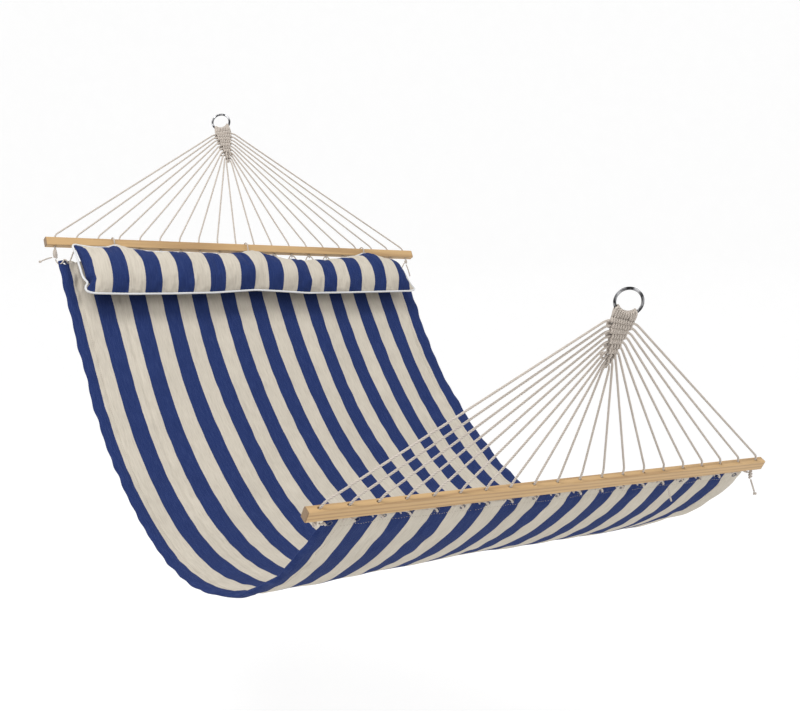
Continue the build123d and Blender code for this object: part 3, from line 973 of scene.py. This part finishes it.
TAILS = {
    "head_left_tail": (HEAD_LEFT, ((0, -9.5, -32), (1, -26, -36), (2, -43, -44)), "knot"),
    "head_right_tail": (HEAD_RIGHT, ((0, 2, -21), (2, 12, -43), (4, 17, -66)), "bare"),
    "foot_right_tail": (FOOT_RIGHT, ((0, 1, -28), (1, 8, -45), (2, 14.5, -62.5)), "knot"),
    "foot_middle_tail": (under_hole(FOOT_BAR, FOOT_DOWN, 15),
                         ((22, 13, -18), (23, 15, -36), (25, 21, -53)), "bare"),
}
for end_name in ENDS:
    lacing(end_name)
    hole_loops(end_name)
knots()
for tail, (start_at, route_at, tail_end) in TAILS.items():
    declare(tail + "_cord", [start_at + millimetres(*p) for p in route_at], LACING, tail)


# ---------------------------------------------------------------- pillow
PILLOW_UP = -slanted(34.0, 1)
PILLOW_OUT = Y.cross(PILLOW_UP)
PILLOW_AT = Vector((0.294, -0.006, -0.5545))
PILLOW_END = 0.613            # half of its length
PILLOW_DEEP = 0.0465          # half of its thickness
TIES = (-0.478, 0.0, 0.478)
TIE_TURN = 0.0225             # radius of a tie's turn round the bar
# places along the pillow, and the seam's height there
TOP_SEAM = ((-0.621, 0.114), (-0.595, 0.107), (-0.550, 0.101), (-0.500, 0.102), (-0.472, 0.116),
            (-0.440, 0.101), (-0.368, 0.092), (-0.246, 0.089), (-0.139, 0.086), (-0.040, 0.092),
            (0.006, 0.109), (0.050, 0.091), (0.100, 0.078), (0.160, 0.070), (0.258, 0.073),
            (0.355, 0.086), (0.440, 0.101), (0.484, 0.119), (0.525, 0.098), (0.590, 0.086),
            (0.630, 0.080))
FOOT_SEAM = ((-0.621, -0.078), (-0.595, -0.087), (-0.477, -0.088), (-0.342, -0.085), (-0.183, -0.079),
             (-0.032, -0.066), (0.062, -0.070), (0.167, -0.076), (0.308, -0.072), (0.472, -0.066),
             (0.630, -0.060))
DENT = -0.049                 # height at which the left end is drawn in
CORNER = (-0.066, 0.026)      # height and width of the right end's long corner
CORNER_OUT = 0.016


def seam(table, x):
    """A seam's height along the pillow, with its corners eased."""
    xs, ys = np.array(table).T
    spread = np.linspace(-0.012, 0.012, 7)
    return np.mean([np.interp(np.asarray(x) + d, xs, ys) for d in spread], axis=0)


def seam_depth(share):
    """How far the seam sits in front of the pillow's middle, from its foot (-1) to its top (1)."""
    return -0.0115 * share - 0.0075 * share ** 2


def pillow_place(x, y, z):
    """Points from the pillow's own length, height and depth."""
    x, y, z = np.broadcast_arrays(x, y, z)
    return (np.array(PILLOW_AT) + x[..., None] * np.array(Y) + y[..., None] * np.array(PILLOW_UP)
            + z[..., None] * np.array(PILLOW_OUT))


def swollen(thing, pinned, most):
    """Swell a closed cloth with pressure, keep its seams, and cap how far a point may move."""
    start = np.array([v.co for v in thing.data.vertices])
    group = thing.vertex_groups.new(name="seams")
    for weight in sorted(set(pinned.round(2))):
        chosen = np.nonzero(np.isclose(pinned.round(2), weight))[0].tolist()
        group.add(chosen, float(weight), "REPLACE")
    cloth = thing.modifiers.new("cloth", "CLOTH")
    settings = cloth.settings
    settings.quality = 6
    settings.mass = 0.25
    settings.tension_stiffness = settings.compression_stiffness = 12.0
    settings.shear_stiffness = 6.0
    settings.bending_stiffness = 0.35
    settings.use_pressure = True
    settings.uniform_pressure_force = 4.0
    settings.vertex_group_mass = "seams"
    settings.shrink_min = -0.035
    settings.effector_weights.gravity = 0.0
    cloth.collision_settings.use_collision = False
    cloth.point_cache.frame_start, cloth.point_cache.frame_end = 1, 20
    scene = bpy.context.scene
    for number in range(1, 21):
        scene.frame_set(number)
    graph = bpy.context.evaluated_depsgraph_get()
    final = thing.evaluated_get(graph).to_mesh()
    end = np.array([v.co for v in final.vertices])
    thing.evaluated_get(graph).to_mesh_clear()
    thing.modifiers.remove(cloth)
    scene.frame_set(1)
    move = end - start
    far = np.linalg.norm(move, axis=1)
    move *= (np.tanh(far / most) * most / np.maximum(far, 1e-9))[:, None]
    thing.data.vertices.foreach_set("co", (start + move).astype(np.float32).ravel())
    thing.data.update()


def pillow():
    """Pillow cover, sewn all round, peaked where the ties pull it up."""
    columns = 64                        # round the pillow, seam to seam and back
    lengths = np.linspace(-1, 1, 207)
    lengths = np.sign(lengths) * (1 - (1 - np.abs(lengths)) ** 1.12) * PILLOW_END
    turn = np.arange(columns) * 2 * math.pi / columns
    top, bottom = seam(TOP_SEAM, lengths), seam(FOOT_SEAM, lengths)
    middle, half = (top + bottom) / 2, (top - bottom) / 2
    near_end = np.clip(np.abs(lengths) / PILLOW_END, 0, 1)
    deep = PILLOW_DEEP * (1 - near_end ** 16) ** 0.55 * (0.93 + 0.07 * np.cos(lengths * 9.0))
    deep = np.maximum(deep, 0.0012)
    for tie in TIES:
        deep = deep - 0.004 * bell(lengths - tie, 0.05) * (near_end < 0.98)
    shape_z = np.sign(np.sin(turn)) * np.abs(np.sin(turn)) ** 1.15
    y = middle[:, None] + half[:, None] * np.cos(turn)[None, :]
    z = deep[:, None] * shape_z[None, :] + seam_depth(np.cos(turn))[None, :]
    pulled = np.abs(np.cos(turn)) ** 2
    # ends draw in between their corners
    x = lengths[:, None] * (1 - 0.014 * (near_end ** 8)[:, None] * (1 - pulled)[None, :])
    x = x + (lengths < 0)[:, None] * 0.016 * (near_end ** 40)[:, None] * bell(y - DENT, 0.012)
    corner = CORNER_OUT * (lengths > 0)[:, None] * (near_end ** 14)[:, None]
    corner = corner * bell(y - CORNER[0], CORNER[1])
    x = x + corner
    # small puckers run down from the ties and the seams
    for tie in TIES:
        near = bell(lengths[:, None] - tie, 0.055) * np.clip(np.cos(turn), 0, 1)[None, :] ** 1.5
        z = z + np.sign(z) * 0.0030 * near * np.cos((lengths[:, None] - tie) * 2 * math.pi / 0.022)
    crimp = ripple(lengths[:, None], turn[None, :] * 0.03, 0.030, 21, 6) * np.abs(np.cos(turn))[None, :] ** 6
    z = z + np.sign(z) * 0.0009 * crimp * (np.abs(np.cos(turn)) < 0.999)[None, :]
    net = pillow_place(x, y, z)
    shape = Shape()
    # the cloth's stripes stand upright: across is the pillow's length
    rows = len(lengths)
    shape.points.extend(net.reshape(-1, 3).tolist())
    girth = turn * 0.068
    drift = np.interp(lengths, (-0.60, -0.50, -0.39, -0.28, -0.17, -0.07, 0.55),
                      (-0.010, -0.009, -0.0045, 0.0, 0.007, 0.012, 0.013))
    flat = lengths - 0.032 - drift
    for r in range(rows - 1):
        for c in range(columns):
            d = (c + 1) % columns
            shape.face([r * columns + c, r * columns + d, (r + 1) * columns + d, (r + 1) * columns + c],
                       [(flat[r] + corner[r, c], girth[c]), (flat[r] + corner[r, d], girth[c] + 0.0067),
                        (flat[r + 1] + corner[r + 1, d], girth[c] + 0.0067),
                        (flat[r + 1] + corner[r + 1, c], girth[c])])
    for r in (0, rows - 1):
        for c in range(columns // 2):
            e, f = (columns - c) % columns, (columns - c - 1) % columns
            corners = list(dict.fromkeys([r * columns + c, r * columns + c + 1,
                                          r * columns + f, r * columns + e]))
            shape.face(corners, [(flat[r], girth[c])] * len(corners))
    thing = shape.make("pillow_cloth", CLOTH)
    face_outward(thing)
    pinned = np.zeros((rows, columns))
    pinned[:, 0] = pinned[:, columns // 2] = 1.0
    pinned[:2] = pinned[-2:] = 1.0
    swollen(thing, pinned.ravel(), 0.010)
    smoother = thing.modifiers.new("subdivision", "SUBSURF")
    smoother.levels = smoother.render_levels = 1
    ride(thing, "pillow", "striped_cloth", "pillow_cover", "pillow_filling")
    return thing


def pillow_edge():
    """White piping sewn in round the seam."""
    reach = 0.0030
    xs = np.linspace(-PILLOW_END + 0.006, PILLOW_END - 0.006, 120)
    top, bottom = seam(TOP_SEAM, xs) + reach, seam(FOOT_SEAM, xs) - reach
    end = PILLOW_END + reach
    left = [(-end, y) for y in np.linspace(bottom[0] + 0.006, top[0] - 0.006, 14)]
    left = [(x + 0.014 * bell(y - DENT, 0.010), y) for x, y in left]
    right = [(end + CORNER_OUT * bell(y - CORNER[0], CORNER[1]), y)
             for y in np.linspace(top[-1] - 0.006, bottom[-1] + 0.006, 14)]
    loop = left + list(zip(xs, top)) + right + list(zip(xs[::-1], bottom[::-1]))
    loop = loop[-60:] + loop[:-60]
    loop.append(loop[0])
    points = []
    for x, y in loop:
        low, high = float(seam(FOOT_SEAM, x)), float(seam(TOP_SEAM, x))
        share = np.clip((2 * y - high - low) / (high - low), -1, 1)
        points.append(Vector(pillow_place(np.array(x), np.array(y), seam_depth(share))))
    line, at = evenly(smooth_line(points, 6), 0.004)
    shape = Shape()
    tube(shape, line, at, 0.0034 + 0.0002 * np.sin(at * 520.0), 10)
    return ride(shape.make("pillow_piping_cord", PIPING), "pillow", "white_piping", "pillow_piping")


def pillow_ties():
    """Ties from the pillow's top edge, each with one turn round the bar."""
    for number, place in enumerate(TIES, 1):
        x = place - PILLOW_AT.y
        top = float(seam(TOP_SEAM, x)) + 0.004
        knot = Vector(pillow_place(np.array(x), np.array(top), np.array(seam_depth(1.0))))
        centre = HEAD_BAR + Y * place
        toward = (knot - centre).normalized()
        start_angle = math.atan2(toward.z, toward.x)
        points = [knot - Y * 0.003]
        for k in range(9):
            angle = start_angle + math.radians(24 + k * 39)
            drift = (k - 4) * 0.0011
            points.append(centre + Vector((math.cos(angle) * TIE_TURN, drift,
                                           math.sin(angle) * TIE_TURN)))
        points.append(knot + Y * 0.003)
        declare(f"pillow_tie_cord_{number}", points, TIE, f"pillow_tie_{number}",
                body="pillow")


pillow()
pillow_edge()
pillow_ties()


# ---------------------------------------------------------------- the parts that keep their shape
def dress(node, finish):
    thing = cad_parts[node]
    for slot in thing.material_slots:
        slot.material = finish
    if not thing.material_slots:
        thing.data.materials.append(finish)


for end_name in ENDS:
    dress(f"{end_name}_ring", STEEL)
    dress(f"{end_name}_spreader_bar", PINE)
